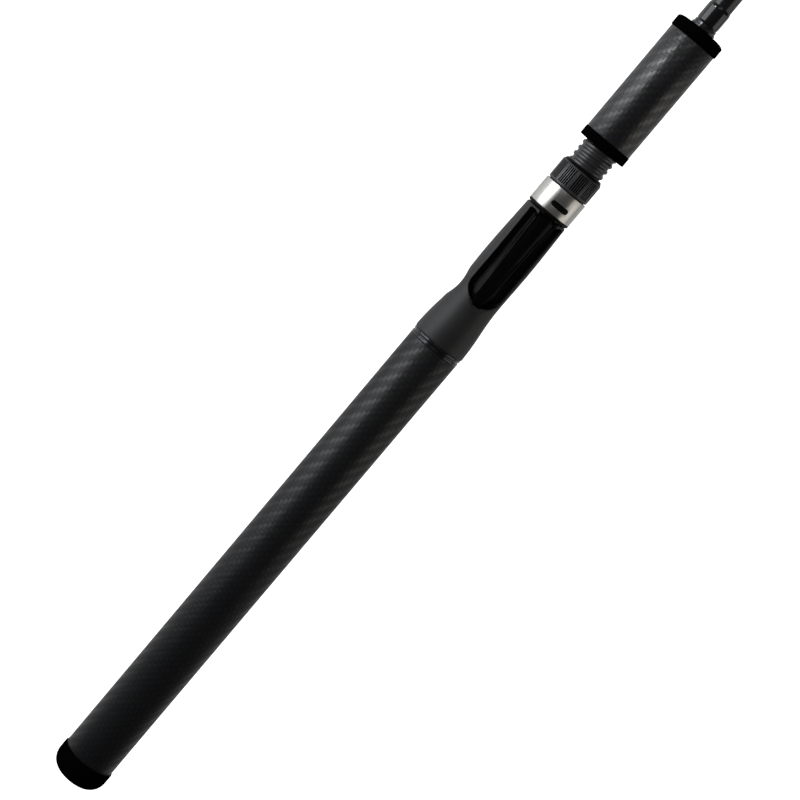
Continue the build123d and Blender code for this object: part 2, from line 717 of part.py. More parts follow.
def tip_top_frame():
    outer, inner = TIP_RING
    x = tip_ring_x()
    start = BLANK_END_X - TIP_TUBE_LENGTH
    tube_r = blank_radius(start) + TIP_TUBE_WALL
    nose_x = BLANK_END_X + TIP_NOSE
    sleeve = turned(
        (start, 0), (start, tube_r), (BLANK_END_X, tube_r), (nose_x, tube_r - TIP_NOSE / 2), (nose_x, 0)
    )
    radius = wire_radius(outer)
    leg = strut((BLANK_END_X - 4, tube_r - 0.2, 0.6), ring_side(x, TIP_RING_HEIGHT, outer, 20), radius)
    brace = strut((BLANK_END_X, 0, 0), (x, 0, TIP_RING_HEIGHT - outer / 2 - HOLDER_WALL / 2), radius)
    holder = ring_holder(x, TIP_RING_HEIGHT, outer, ring_depth(outer, inner) + HOLDER_LIP)
    frame = holder + sleeve + both_sides(leg) + brace
    frame = frame - Pos(0, 0, TIP_RING_HEIGHT) * bar(x - 5, x + 5, outer / 2)
    return frame - blank_envelope(start - OVER, BLANK_END_X)


def tip_wrap(frame):
    """Thread from the blank up on to the tip-top's tube."""
    end = BLANK_END_X - TIP_TUBE_LENGTH + TIP_WRAP_LENGTH / 2
    start = end - TIP_WRAP_LENGTH
    tube_r = blank_radius(BLANK_END_X - TIP_TUBE_LENGTH) + TIP_TUBE_WALL
    outline = [
        (start, blank_radius(start) + WRAP_EDGE), (start + 2, blank_radius(start) + WRAP_THICKNESS),
        (end - 1, tube_r + WRAP_THICKNESS), (end, tube_r + WRAP_EDGE),
    ]
    return turned((start, 0), *outline, (end, 0)) - blank_envelope(start - OVER, end + OVER) - frame


# ---- write every node ----
def main():
    write("butt_cap", butt_cap())
    write("rear_grip_core", grip_core(GRIP_X, TRIM_X, GRIP_R - GRIP_WALL))
    write("rear_grip_tube", tube(GRIP_X, TRIM_X, GRIP_R, GRIP_R - GRIP_WALL))
    write("rear_trim_ring", trim_ring())
    write("reel_seat_body", reel_seat_body())
    write("seat_arbors", seat_arbors())
    write("hood_liner", hood_liner())
    write("hood_shell", hood_shell())
    write("lock_nut", lock_nut())
    write("foregrip_rear_ring", fore_rear_ring())
    write("foregrip_core", grip_core(FORE_X, FRONT_RING_X, FORE_R - FORE_WALL))
    write("foregrip_tube", tube(FORE_X, FRONT_RING_X, FORE_R, FORE_R - FORE_WALL))
    write("foregrip_front_ring", fore_front_ring())
    write("winding_check", winding_check())
    write("handle_wrap", thread_wrap(HANDLE_WRAP_X, HANDLE_WRAP_X + HANDLE_WRAP_LENGTH))
    write("blank_butt_section", butt_section())
    write("blank_tip_section", tip_section())
    write("ferrule_wrap", thread_wrap(FERRULE_X + 1, FERRULE_X + 1 + FERRULE_WRAP_LENGTH))
    for name, x, outer, inner, height, feet in GUIDES:
        frame = guide_frame(x, outer, inner, height, feet)
        write(name + "_frame", frame)
        write(name + "_ring", guide_ring(x, height, outer, inner))
        write(name + "_wraps", guide_wraps(x, outer, feet, frame))
    frame = tip_top_frame()
    write("tip_top_frame", frame)
    write("tip_top_ring", guide_ring(tip_ring_x(), TIP_RING_HEIGHT, *TIP_RING))
    write("tip_top_wrap", tip_wrap(frame))


if __name__ == "__main__":
    main()
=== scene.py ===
import json
import logging
from dataclasses import dataclass
from enum import Enum
from math import cos, pi, radians, sin
from typing import Iterable, Sequence

import bpy
from mathutils import Matrix, Vector

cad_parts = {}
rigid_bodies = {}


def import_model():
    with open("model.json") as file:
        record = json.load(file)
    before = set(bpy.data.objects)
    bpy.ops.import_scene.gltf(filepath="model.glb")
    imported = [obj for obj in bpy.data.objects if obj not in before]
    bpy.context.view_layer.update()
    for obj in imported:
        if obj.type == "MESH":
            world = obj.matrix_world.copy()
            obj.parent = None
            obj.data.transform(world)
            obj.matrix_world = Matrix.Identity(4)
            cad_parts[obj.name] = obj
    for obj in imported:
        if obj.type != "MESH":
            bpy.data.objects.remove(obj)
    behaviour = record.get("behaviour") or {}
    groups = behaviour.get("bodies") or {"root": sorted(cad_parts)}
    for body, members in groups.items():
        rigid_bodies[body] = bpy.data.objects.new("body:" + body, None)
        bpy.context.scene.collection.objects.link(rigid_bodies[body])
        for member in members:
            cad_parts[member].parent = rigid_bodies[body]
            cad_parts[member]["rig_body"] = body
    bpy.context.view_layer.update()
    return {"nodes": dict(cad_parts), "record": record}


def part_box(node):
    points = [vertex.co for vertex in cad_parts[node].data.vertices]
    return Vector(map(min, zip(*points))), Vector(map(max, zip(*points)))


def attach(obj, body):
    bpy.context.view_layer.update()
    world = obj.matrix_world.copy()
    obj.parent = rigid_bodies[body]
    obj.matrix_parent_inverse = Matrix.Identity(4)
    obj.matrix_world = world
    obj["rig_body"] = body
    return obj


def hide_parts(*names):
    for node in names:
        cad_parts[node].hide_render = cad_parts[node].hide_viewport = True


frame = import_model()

MM = 0.001
LOG = logging.getLogger("spinning_rod")
Point = tuple[float, float]
Colour = tuple[float, float, float]


# ---- shader graphs ----
class Graph:
    """Adds and joins the nodes of one shader tree."""

    def __init__(self, tree: bpy.types.NodeTree) -> None:
        """Keeps the tree that the nodes go into."""
        self.tree = tree

    def node(self, kind: str, **settings: object) -> bpy.types.Node:
        """Adds a node of a kind and sets its properties."""
        made = self.tree.nodes.new(kind)
        for key, value in settings.items():
            setattr(made, key, value)
        return made

    def feed(self, socket: bpy.types.NodeSocket, value: object) -> None:
        """Links an output into a socket, or sets the socket's own value."""
        if isinstance(value, bpy.types.NodeSocket):
            self.tree.links.new(value, socket)
        else:
            socket.default_value = value

    def math(self, operation: str, *values: object) -> bpy.types.NodeSocket:
        """Result of a Math node on one, two or three values."""
        made = self.node("ShaderNodeMath", operation=operation)
        for socket, value in zip(made.inputs, values):
            self.feed(socket, value)
        return made.outputs[0]

    def blend(self, factor: object, low: object, high: object) -> bpy.types.NodeSocket:
        """Plain number between two numbers, by a factor."""
        made = self.node("ShaderNodeMix", data_type="FLOAT")
        for socket, value in zip((made.inputs[0], made.inputs[2], made.inputs[3]), (factor, low, high)):
            self.feed(socket, value)
        return made.outputs[0]

    def tint(self, factor: object, low: object, high: object) -> bpy.types.NodeSocket:
        """Colour between two colours, by a factor."""
        made = self.node("ShaderNodeMix", data_type="RGBA")
        for socket, value in zip((made.inputs[0], made.inputs[6], made.inputs[7]), (factor, low, high)):
            self.feed(socket, (*value, 1.0) if isinstance(value, tuple) else value)
        return made.outputs[2]

    def vector(self, x: object, y: object, z: object) -> bpy.types.NodeSocket:
        """Vector put together from three values."""
        made = self.node("ShaderNodeCombineXYZ")
        for socket, value in zip(made.inputs, (x, y, z)):
            self.feed(socket, value)
        return made.outputs[0]

    def noise(
        self, vector: object, scale: float, detail: float = 3.0, rough: float = 0.55
    ) -> bpy.types.NodeSocket:
        """Noise value at a vector."""
        made = self.node("ShaderNodeTexNoise")
        self.feed(made.inputs["Vector"], vector)
        for name, value in (("Scale", scale), ("Detail", detail), ("Roughness", rough)):
            self.feed(made.inputs[name], value)
        return made.outputs[0]

    def bump(self, height: object, distance: float, strength: float) -> bpy.types.NodeSocket:
        """Normal raised by a height."""
        made = self.node("ShaderNodeBump")
        for name, value in (("Height", height), ("Distance", distance), ("Strength", strength)):
            self.feed(made.inputs[name], value)
        return made.outputs["Normal"]

    def call(self, group: bpy.types.NodeTree, **values: object) -> bpy.types.Node:
        """Places a node group and feeds its inputs by name."""
        made = self.node("ShaderNodeGroup", node_tree=group)
        for name, value in values.items():
            self.feed(made.inputs[name.replace("_", " ")], value)
        return made


class Group:
    """A shader node group with named inputs and outputs, made once."""

    made: dict[str, bpy.types.NodeTree] = {}

    def __init__(self, name: str, inputs: dict[str, float | None], outputs: Iterable[str]) -> None:
        """Makes the group's tree and its sockets.

        Args:
            name: the group's name.
            inputs: each input's name and default, None for a vector.
            outputs: names of the number outputs.
        """
        self.tree = bpy.data.node_groups.new(name, "ShaderNodeTree")
        for label, default in inputs.items():
            kind = "NodeSocketVector" if default is None else "NodeSocketFloat"
            socket = self.tree.interface.new_socket(name=label, in_out="INPUT", socket_type=kind)
            if default is not None:
                socket.default_value = default
        for label in outputs:
            self.tree.interface.new_socket(name=label, in_out="OUTPUT", socket_type="NodeSocketFloat")
        self.graph = Graph(self.tree)
        self.source = self.graph.node("NodeGroupInput").outputs
        self.sink = self.graph.node("NodeGroupOutput").inputs
        Group.made[name] = self.tree


def rod_coordinates() -> bpy.types.NodeTree:
    """Place along the rod, turn round it from 0 to 1, and distance from its axis."""
    if "rod_coordinates" in Group.made:
        return Group.made["rod_coordinates"]
    group = Group("rod_coordinates", {"Vector": None}, ("Along", "Around", "Radius", "Side", "Height"))
    g = group.graph
    parts = g.node("ShaderNodeSeparateXYZ")
    g.feed(parts.inputs[0], group.source["Vector"])
    x, y, z = parts.outputs
    turn = g.math("MULTIPLY_ADD", g.math("ARCTAN2", y, z), 0.5 / pi, 0.5)
    radius = g.math("SQRT", g.math("ADD", g.math("MULTIPLY", y, y), g.math("MULTIPLY", z, z)))
    for name, value in (("Along", x), ("Around", turn), ("Radius", radius), ("Side", y), ("Height", z)):
        g.feed(group.sink[name], value)
    return group.tree


def twill_weave() -> bpy.types.NodeTree:
    """Two-by-two twill of flat tows laid along and round the rod."""
    if "twill_weave" in Group.made:
        return Group.made["twill_weave"]
    inputs = {"Along": 0.0, "Around": 0.0, "Tow": 0.002, "Count": 40.0}
    group = Group("twill_weave", inputs, ("Lengthwise", "Relief", "Strand"))
    g, source = group.graph, group.source
    u = g.math("DIVIDE", source["Along"], source["Tow"])
    v = g.math("MULTIPLY", source["Around"], source["Count"])
    cell_u, cell_v = g.math("FLOOR", u), g.math("FLOOR", v)
    phase = g.math("FLOORED_MODULO", g.math("ADD", cell_u, cell_v), 4.0)
    over = g.math("LESS_THAN", phase, 1.5)
    step_u = g.math("ADD", u, cell_v)
    step_v = g.math("SUBTRACT", g.math("ADD", v, cell_u), 2.0)
    run_u = g.math("MULTIPLY", g.math("FLOORED_MODULO", step_u, 4.0), pi / 2)
    run_v = g.math("MULTIPLY", g.math("FLOORED_MODULO", step_v, 4.0), pi / 2)
    crown_u = g.math("SINE", g.math("MULTIPLY", g.math("FRACT", v), pi))
    crown_v = g.math("SINE", g.math("MULTIPLY", g.math("FRACT", u), pi))
    lengthwise = g.math("MULTIPLY", g.math("SINE", run_u), g.math("POWER", crown_u, 0.35))
    crosswise = g.math("MULTIPLY", g.math("SINE", run_v), g.math("POWER", crown_v, 0.35))
    strand_u = g.noise(g.vector(g.math("MULTIPLY", u, 0.35), g.math("MULTIPLY", v, 14.0), 0.0), 1.0, 2.0)
    strand_v = g.noise(g.vector(g.math("MULTIPLY", u, 14.0), g.math("MULTIPLY", v, 0.35), 5.0), 1.0, 2.0)
    g.feed(group.sink["Lengthwise"], over)
    g.feed(group.sink["Relief"], g.blend(over, crosswise, lengthwise))
    g.feed(group.sink["Strand"], g.blend(over, strand_v, strand_u))
    return group.tree


def fine_grain() -> bpy.types.NodeTree:
    """Moulding grain: fine pits, a slow drift of tone, and sparse handling marks."""
    if "fine_grain" in Group.made:
        return Group.made["fine_grain"]
    group = Group("fine_grain", {"Vector": None, "Scale": 4000.0}, ("Pits", "Drift", "Marks"))
    g, source = group.graph, group.source
    drift = g.node("ShaderNodeMapRange")
    g.feed(drift.inputs["Value"], g.noise(source["Vector"], 60.0, 4.0))
    g.feed(drift.inputs["From Min"], 0.3)
    g.feed(drift.inputs["From Max"], 0.7)
    marks = g.node("ShaderNodeMapRange")
    g.feed(marks.inputs["Value"], g.noise(source["Vector"], 420.0, 6.0, 0.7))
    g.feed(marks.inputs["From Min"], 0.56)
    g.feed(marks.inputs["From Max"], 0.72)
    g.feed(group.sink["Pits"], g.noise(source["Vector"], source["Scale"], 2.0))
    g.feed(group.sink["Drift"], drift.outputs[0])
    g.feed(group.sink["Marks"], marks.outputs[0])
    return group.tree


def helix_lay() -> bpy.types.NodeTree:
    """Rounded turns of a thread or tape wound round the rod."""
    if "helix_lay" in Group.made:
        return Group.made["helix_lay"]
    group = Group("helix_lay", {"Along": 0.0, "Around": 0.0, "Pitch": 0.0003}, ("Relief", "Turn"))
    g, source = group.graph, group.source
    lay = g.math("ADD", g.math("DIVIDE", source["Along"], source["Pitch"]), source["Around"])
    g.feed(group.sink["Relief"], g.math("SINE", g.math("MULTIPLY", g.math("FRACT", lay), pi)))
    g.feed(group.sink["Turn"], g.noise(g.vector(g.math("FLOOR", lay), 0.0, 0.0), 0.7, 1.0))
    return group.tree


# ---- finishes ----
@dataclass(frozen=True)
class Finish:
    """Base of every finish: a name and what one Principled shader holds all over."""

    name: str
    colour: Colour
    roughness: float
    metallic: float = 0.0
    specular: float = 0.5
    coat: float = 0.0
    coat_roughness: float = 0.1

    def material(self) -> bpy.types.Material:
        """Material with its Principled shader, detailed by the finish."""
        title = self.name + "_finish"
        if title in bpy.data.materials:
            return bpy.data.materials[title]
        made = bpy.data.materials.new(title)
        made.use_nodes = True
        shader = made.node_tree.nodes["Principled BSDF"]
        shader.inputs["Base Color"].default_value = (*self.colour, 1.0)
        shader.inputs["Roughness"].default_value = self.roughness
        shader.inputs["Metallic"].default_value = self.metallic
        shader.inputs["Specular IOR Level"].default_value = self.specular
        shader.inputs["Coat Weight"].default_value = self.coat
        shader.inputs["Coat Roughness"].default_value = self.coat_roughness
        g = Graph(made.node_tree)
        place = g.node("ShaderNodeTexCoord").outputs["Object"]
        self.detail(g, shader, place, g.call(rod_coordinates(), Vector=place).outputs)
        return made

    def tone(self, change: float) -> Colour:
        """The finish's colour made lighter or darker."""
        red, green, blue = self.colour
        return red * change, green * change, blue * change

    def detail(self, g: Graph, shader: bpy.types.Node, place: object, rod: object) -> None:
        """Adds what varies over the surface; each finish has its own."""
        raise NotImplementedError


@dataclass(frozen=True)
class Carbon(Finish):
    """Satin woven carbon sleeve."""

    tow: float = 2.05 * MM
    count: float = 44.0
    # darker copy of the colour for the crosswise tows: painted sheen that stands in for how the two
    # directions reflect light
    cross: Colour = (0.0095, 0.0097, 0.0105)

    def detail(self, g: Graph, shader: bpy.types.Node, place: object, rod: object) -> None:
        """Twill tows with fibre lines, each direction with its own sheen, partly as painted sheen in the
        colour, and painted shade towards each tow's edges.
        """
        along, around = rod["Along"], rod["Around"]
        weave = g.call(twill_weave(), Along=along, Around=around, Tow=self.tow, Count=self.count).outputs
        grain = g.call(fine_grain(), Vector=place, Scale=5000.0).outputs
        fibre = g.math("MULTIPLY_ADD", weave["Strand"], 1.2, 0.4)
        crown = g.math("POWER", weave["Relief"], 0.8)
        # painted sheen: crosswise tows take the darker cross colour, a shaded copy of the same carbon
        tows = g.tint(weave["Lengthwise"], self.cross, self.colour)
        # painted shade: the colour is scaled up on each tow's crown and down towards its edges, where the
        # tows dip under each other
        lit = g.node("ShaderNodeVectorMath", operation="SCALE")
        g.feed(lit.inputs[0], tows)
        g.feed(lit.inputs["Scale"], g.math("MULTIPLY", fibre, g.math("MULTIPLY_ADD", crown, 0.3, 0.75)))
        g.feed(shader.inputs["Base Color"], lit.outputs[0])
        shine = g.blend(weave["Lengthwise"], g.math("MULTIPLY", crown, 0.25), crown)
        sheen = g.math("MULTIPLY", fibre, shine)
        level = g.math("MULTIPLY_ADD", sheen, 0.4 * self.specular, 0.9 * self.specular)
        g.feed(shader.inputs["Specular IOR Level"], level)
        rough = g.blend(weave["Lengthwise"], self.roughness + 0.1, self.roughness)
        g.feed(shader.inputs["Roughness"], g.math("MULTIPLY_ADD", grain["Drift"], 0.07, rough))
        relief = g.math("MULTIPLY_ADD", weave["Strand"], 0.25, weave["Relief"])
        g.feed(shader.inputs["Normal"], g.bump(relief, 0.09 * MM, 0.55))


@dataclass(frozen=True)
class Foam(Finish):
    """Closed-cell EVA foam with open pores in its ground surface."""

    def detail(self, g: Graph, shader: bpy.types.Node, place: object, rod: object) -> None:
        """Ground pores, darkened by painted shade, and a faint bloom."""
        cells = g.node("ShaderNodeTexVoronoi")
        g.feed(cells.inputs["Vector"], place)
        g.feed(cells.inputs["Scale"], 2600.0)
        grain = g.call(fine_grain(), Vector=place, Scale=6000.0).outputs
        height = g.math("MULTIPLY_ADD", grain["Pits"], 0.8, cells.outputs["Distance"])
        # painted shade: the colour follows the pores' height, darker in the pits and lighter on their rims
        g.feed(shader.inputs["Base Color"], g.tint(height, self.tone(0.6), self.tone(1.6)))
        g.feed(shader.inputs["Roughness"], g.math("MULTIPLY_ADD", grain["Drift"], 0.08, self.roughness))
        g.feed(shader.inputs["Normal"], g.bump(height, 0.12 * MM, 0.8))


@dataclass(frozen=True)
class Moulded(Finish):
    """Moulded plastic with a fine grain and rubbed, slightly glossier marks."""

    grain: float = 0.04 * MM

    def detail(self, g: Graph, shader: bpy.types.Node, place: object, rod: object) -> None:
        """Grain, tone drift and handling marks."""
        grain = g.call(fine_grain(), Vector=place, Scale=3600.0).outputs
        tone = g.math("MULTIPLY_ADD", grain["Drift"], 0.6, g.math("MULTIPLY", grain["Marks"], 0.4))
        self.paint(g, shader, g.tint(tone, self.tone(0.88), self.tone(1.16)), rod, grain)
        g.feed(shader.inputs["Normal"], g.bump(grain["Pits"], self.grain, 0.5))

    def paint(self, g: Graph, shader: bpy.types.Node, colour: object, rod: object, grain: object) -> None:
        """Colour and roughness of the plain moulding."""
        g.feed(shader.inputs["Base Color"], colour)
        g.feed(shader.inputs["Roughness"], g.math("MULTIPLY_ADD", grain["Marks"], -0.09, self.roughness))


@dataclass(frozen=True)
class Knurled(Moulded):
    """Moulded plastic, with painted shade that darkens the grooves of its knurl."""

    groove_floor: float = 11.3 * MM
    groove_top: float = 11.63 * MM
    knurl_start: float = 0.3945
    knurl_end: float = 0.4065

    def paint(self, g: Graph, shader: bpy.types.Node, colour: object, rod: object, grain: object) -> None:
        """Colour with painted shade that falls to near black below the knurl's face, with dimmer reflection
        there.
        """
        depth = g.node("ShaderNodeMapRange")
        g.feed(depth.inputs["Value"], rod["Radius"])
        g.feed(depth.inputs["From Min"], self.groove_top)
        g.feed(depth.inputs["From Max"], self.groove_floor)
        ahead = g.math("GREATER_THAN", rod["Along"], self.knurl_start)
        behind = g.math("LESS_THAN", rod["Along"], self.knurl_end)
        # painted shade: the deeper into a groove, the nearer the colour falls to black and the weaker its
        # reflection
        painted_groove_shade = g.math("MULTIPLY", depth.outputs[0], g.math("MULTIPLY", ahead, behind))
        g.feed(shader.inputs["Base Color"], g.tint(painted_groove_shade, colour, self.tone(0.12)))
        g.feed(shader.inputs["Specular IOR Level"], g.blend(painted_groove_shade, self.specular, 0.05))
        g.feed(shader.inputs["Roughness"], g.math("MULTIPLY_ADD", grain["Marks"], -0.09, self.roughness))


@dataclass(frozen=True)
class SeatPlastic(Moulded):
    """Seat moulding whose channel is glossier and darkened by painted shade."""

    channel_radius: float = 11.2 * MM
    channel_floor: float = 3.0 * MM
    channel_start: float = 0.3
    channel_end: float = 0.4

    def paint(self, g: Graph, shader: bpy.types.Node, colour: object, rod: object, grain: object) -> None:
        """Painted shade that darkens the plastic inside the channel only, which is also glossier there."""
        inside = g.math("LESS_THAN", rod["Radius"], self.channel_radius)
        above = g.math("GREATER_THAN", rod["Height"], self.channel_floor)
        ahead = g.math("GREATER_THAN", rod["Along"], self.channel_start)
        behind = g.math("LESS_THAN", rod["Along"], self.channel_end)
        # core marks the channel: there painted shade darkens the colour to a tenth, the plastic is glossier
        # and its reflection weaker
        core = g.math("MULTIPLY", g.math("MULTIPLY", inside, above), g.math("MULTIPLY", ahead, behind))
        g.feed(shader.inputs["Base Color"], g.tint(core, colour, self.tone(0.12)))
        rough = g.math("MULTIPLY_ADD", grain["Marks"], -0.09, self.roughness)
        g.feed(shader.inputs["Roughness"], g.blend(core, rough, 0.26))
        g.feed(shader.inputs["Specular IOR Level"], g.blend(core, self.specular, 0.08))


@dataclass(frozen=True)
class Brushed(Finish):
    """Steel brushed round the ring."""

    def detail(self, g: Graph, shader: bpy.types.Node, place: object, rod: object) -> None:
        """Fine lines round the ring, with a few handling marks."""
        width, length = g.math("MULTIPLY", rod["Along"], 2600.0), g.math("MULTIPLY", rod["Around"], 5.0)
        lines = g.noise(g.vector(width, length, 0.0), 1.0, 6.0, 0.8)
        grain = g.call(fine_grain(), Vector=place, Scale=3000.0).outputs
        g.feed(shader.inputs["Base Color"], g.tint(lines, self.tone(0.7), self.tone(1.22)))
        rough = g.math("MULTIPLY_ADD", lines, 0.14, self.roughness)
        g.feed(shader.inputs["Roughness"], g.math("MULTIPLY_ADD", grain["Marks"], 0.06, rough))
        g.feed(shader.inputs["Normal"], g.bump(lines, 0.012 * MM, 0.5))


@dataclass(frozen=True)
class Plated(Finish):
    """Black plated or anodised metal, rubbed a little brighter in places."""

    def detail(self, g: Graph, shader: bpy.types.Node, place: object, rod: object) -> None:
        """Rubbed marks and a faint orange peel."""
        grain = g.call(fine_grain(), Vector=place, Scale=1800.0).outputs
        g.feed(shader.inputs["Base Color"], g.tint(grain["Marks"], self.colour, self.tone(2.2)))
        g.feed(shader.inputs["Roughness"], g.math("MULTIPLY_ADD", grain["Drift"], 0.1, self.roughness))
        g.feed(shader.inputs["Normal"], g.bump(grain["Pits"], 0.01 * MM, 0.4))


@dataclass(frozen=True)
class Wound(Finish):
    """Thread or tape wound round the rod under clear resin."""

    pitch: float = 0.28 * MM
    depth: float = 0.05 * MM

    def detail(self, g: Graph, shader: bpy.types.Node, place: object, rod: object) -> None:
        """Turns of thread, each with its own tone, and painted shade in the grooves between turns."""
        lay = g.call(helix_lay(), Along=rod["Along"], Around=rod["Around"], Pitch=self.pitch).outputs
        grain = g.call(fine_grain(), Vector=place, Scale=900.0).outputs
        # painted shade: the Relief term darkens the colour between turns; the Turn term is each turn's own
        # tone
        tone = g.math("MULTIPLY_ADD", lay["Relief"], 0.5, g.math("MULTIPLY", lay["Turn"], 0.6))
        g.feed(shader.inputs["Base Color"], g.tint(tone, self.tone(0.5), self.tone(1.5)))
        g.feed(shader.inputs["Roughness"], g.math("MULTIPLY_ADD", grain["Drift"], 0.08, self.roughness))
        g.feed(shader.inputs["Normal"], g.bump(lay["Relief"], self.depth, 0.35))


@dataclass(frozen=True)
class Polished(Finish):
    """Polished ceramic with a faint sintered mottle."""

    def detail(self, g: Graph, shader: bpy.types.Node, place: object, rod: object) -> None:
        """Mottle in tone and gloss."""
        grain = g.call(fine_grain(), Vector=place, Scale=2500.0).outputs
        g.feed(shader.inputs["Base Color"], g.tint(grain["Pits"], self.tone(0.7), self.tone(1.4)))
        g.feed(shader.inputs["Roughness"], g.math("MULTIPLY_ADD", grain["Drift"], 0.05, self.roughness))


class Look(Enum):
    """The rod's finishes, each with the record's slot as its name."""

    carbon_weave = Carbon("grip_carbon", (0.0105, 0.011, 0.013), 0.33, specular=0.32)
    fore_weave = Carbon("foregrip_carbon", (0.0105, 0.011, 0.014), 0.28, specular=0.62, count=40.0)
    eva_foam = Foam("eva_foam", (0.0012, 0.0012, 0.0014), 0.95, specular=0.0)
    core_foam = Foam("core_foam", (0.3, 0.25, 0.17), 0.85)
    seat_plastic = SeatPlastic("seat_plastic", (0.024, 0.024, 0.025), 0.5, specular=0.4)
    liner_plastic = Moulded("liner_plastic", (0.004, 0.004, 0.0044), 0.42, specular=0.08)
    thread_plastic = Moulded("thread_plastic", (0.036, 0.036, 0.039), 0.34, grain=0.02 * MM)
    nut_plastic = Knurled("nut_plastic", (0.046, 0.046, 0.05), 0.36, grain=0.02 * MM)
    stainless = Brushed("stainless", (0.62, 0.61, 0.58), 0.24, metallic=1.0)
    black_metal = Plated("black_metal", (0.02, 0.02, 0.024), 0.22, metallic=0.7, coat=0.4)
    guide_metal = Plated("guide_metal", (0.045, 0.045, 0.05), 0.26, metallic=0.9)
    wrap_epoxy = Wound("wrap_epoxy", (0.003, 0.003, 0.0036), 0.4, specular=0.1, coat=1.0, coat_roughness=0.04)
    blank_carbon = Wound(
        "blank_carbon", (0.006, 0.006, 0.007), 0.3, specular=0.2, coat=0.7, coat_roughness=0.12,
        pitch=1.9 * MM, depth=0.05 * MM,
    )
    ring_ceramic = Polished("ring_ceramic", (0.02, 0.021, 0.025), 0.08, coat=0.3)


# ---- modelling tools ----
def only(piece: bpy.types.Object) -> None:
    """Selects one object and makes it active."""
    bpy.ops.object.select_all(action="DESELECT")
    piece.select_set(True)
    bpy.context.view_layer.objects.active = piece


def settle(piece: bpy.types.Object) -> None:
    """Puts the object's own place, turn and size into its mesh."""
    only(piece)
    bpy.ops.object.transform_apply(location=True, rotation=True, scale=True)


def modify(piece: bpy.types.Object, kind: str, **settings: object) -> None:
    """Adds a modifier and applies it."""
    only(piece)
    made = piece.modifiers.new(kind.lower(), kind)
    for key, value in settings.items():
        setattr(made, key, value)
    bpy.ops.object.modifier_apply(modifier=made.name)


def soften(piece: bpy.types.Object, width: float, segments: int = 2, angle: float = 30.0) -> None:
    """Rounds the sharp edges and shades the rest smooth."""
    if width:
        modify(
            piece, "BEVEL", width=width, segments=segments, limit_method="ANGLE", angle_limit=radians(angle),
            use_clamp_overlap=True,
        )
    only(piece)
    bpy.ops.object.shade_smooth_by_angle(angle=radians(angle))


def select_loops(piece: bpy.types.Object, loops: Sequence[range]) -> None:
    """Selects whole loops of vertices by their numbers, in edit mode."""
    bpy.ops.mesh.select_all(action="DESELECT")
    bpy.ops.object.mode_set(mode="OBJECT")
    for loop in loops:
        for index in loop:
            piece.data.vertices[index].select = True
    bpy.ops.object.mode_set(mode="EDIT")


def turned(name: str, outline: Sequence[Point], steps: int = 128, hollow: bool = True) -> bpy.types.Object:
    """Piece turned about the rod's axis, drawn loop by loop from a circle.

    Args:
        name: the new object's name.
        outline: (place along the rod, radius) points in metres.
        steps: number of points round each loop.
        hollow: joins the last loop to the first, or closes each end with a face.

    Returns:
        The new object, at the origin.
    """
    bpy.ops.object.select_all(action="DESELECT")
    x, radius = outline[0]
    bpy.ops.mesh.primitive_circle_add(
        vertices=steps, radius=radius, location=(x, 0, 0), rotation=(0, pi / 2, 0), fill_type="NOTHING"
    )
    piece = bpy.context.object
    piece.name = name
    settle(piece)
    bpy.ops.object.mode_set(mode="EDIT")
    bpy.ops.mesh.select_all(action="SELECT")
    for (x0, r0), (x1, r1) in zip(outline, outline[1:]):
        bpy.ops.mesh.extrude_region_move(TRANSFORM_OT_translate={"value": (x1 - x0, 0, 0)})
        bpy.ops.transform.resize(value=(1, r1 / r0, r1 / r0), center_override=(x1, 0, 0))
    first, last = range(steps), range(steps * (len(outline) - 1), steps * len(outline))
    if hollow:
        select_loops(piece, (first, last))
        bpy.ops.mesh.bridge_edge_loops()
    else:
        for loop in (first, last):
            select_loops(piece, (loop,))
            bpy.ops.mesh.edge_face_add()
    bpy.ops.mesh.select_all(action="SELECT")
    bpy.ops.mesh.normals_make_consistent(inside=False)
    bpy.ops.object.mode_set(mode="OBJECT")
    return piece


def traced(name: str, points: Sequence[Point]) -> bpy.types.Object:
    """Open outline drawn point by point, with its radius towards +Z.

    Args:
        name: the new object's name.
        points: (place along the rod, radius) points in metres.

    Returns:
        The outline's object, at the origin.
    """
    bpy.ops.object.select_all(action="DESELECT")
    x, radius = points[0]
    bpy.ops.mesh.primitive_plane_add(size=MM, location=(x, 0, radius))
    piece = bpy.context.object
    piece.name = name
    settle(piece)
    bpy.ops.object.mode_set(mode="EDIT")
    bpy.ops.mesh.select_all(action="SELECT")
    bpy.ops.mesh.merge(type="CENTER")
    for (x0, r0), (x1, r1) in zip(points, points[1:]):
        bpy.ops.mesh.extrude_vertices_move(TRANSFORM_OT_translate={"value": (x1 - x0, 0, r1 - r0)})
    bpy.ops.object.mode_set(mode="OBJECT")
    return piece


def cut_end(piece: bpy.types.Object, x: float, ahead: bool) -> None:
    """Cuts a piece square across the rod and closes the cut."""
    only(piece)
    bpy.ops.object.mode_set(mode="EDIT")
    bpy.ops.mesh.select_all(action="SELECT")
    bpy.ops.mesh.bisect(
        plane_co=(x, 0, 0), plane_no=(1, 0, 0), use_fill=True, clear_outer=ahead, clear_inner=not ahead
    )
    bpy.ops.object.mode_set(mode="OBJECT")


def block(centre: Sequence[float], size: Sequence[float]) -> bpy.types.Object:
    """Box-shaped cutter."""
    bpy.ops.object.select_all(action="DESELECT")
    bpy.ops.mesh.primitive_cube_add(size=1, location=centre)
    made = bpy.context.object
    made.scale = size
    settle(made)
    return made


def carve(piece: bpy.types.Object, cutters: Sequence[bpy.types.Object]) -> None:
    """Takes cutters away from a piece and deletes them."""
    cutter = cutters[0]
    bpy.ops.object.select_all(action="DESELECT")
    for other in cutters:
        other.select_set(True)
    bpy.context.view_layer.objects.active = cutter
    if len(cutters) > 1:
        bpy.ops.object.join()
    modify(piece, "BOOLEAN", operation="DIFFERENCE", object=cutter, solver="EXACT")
    bpy.data.objects.remove(cutter, do_unlink=True)


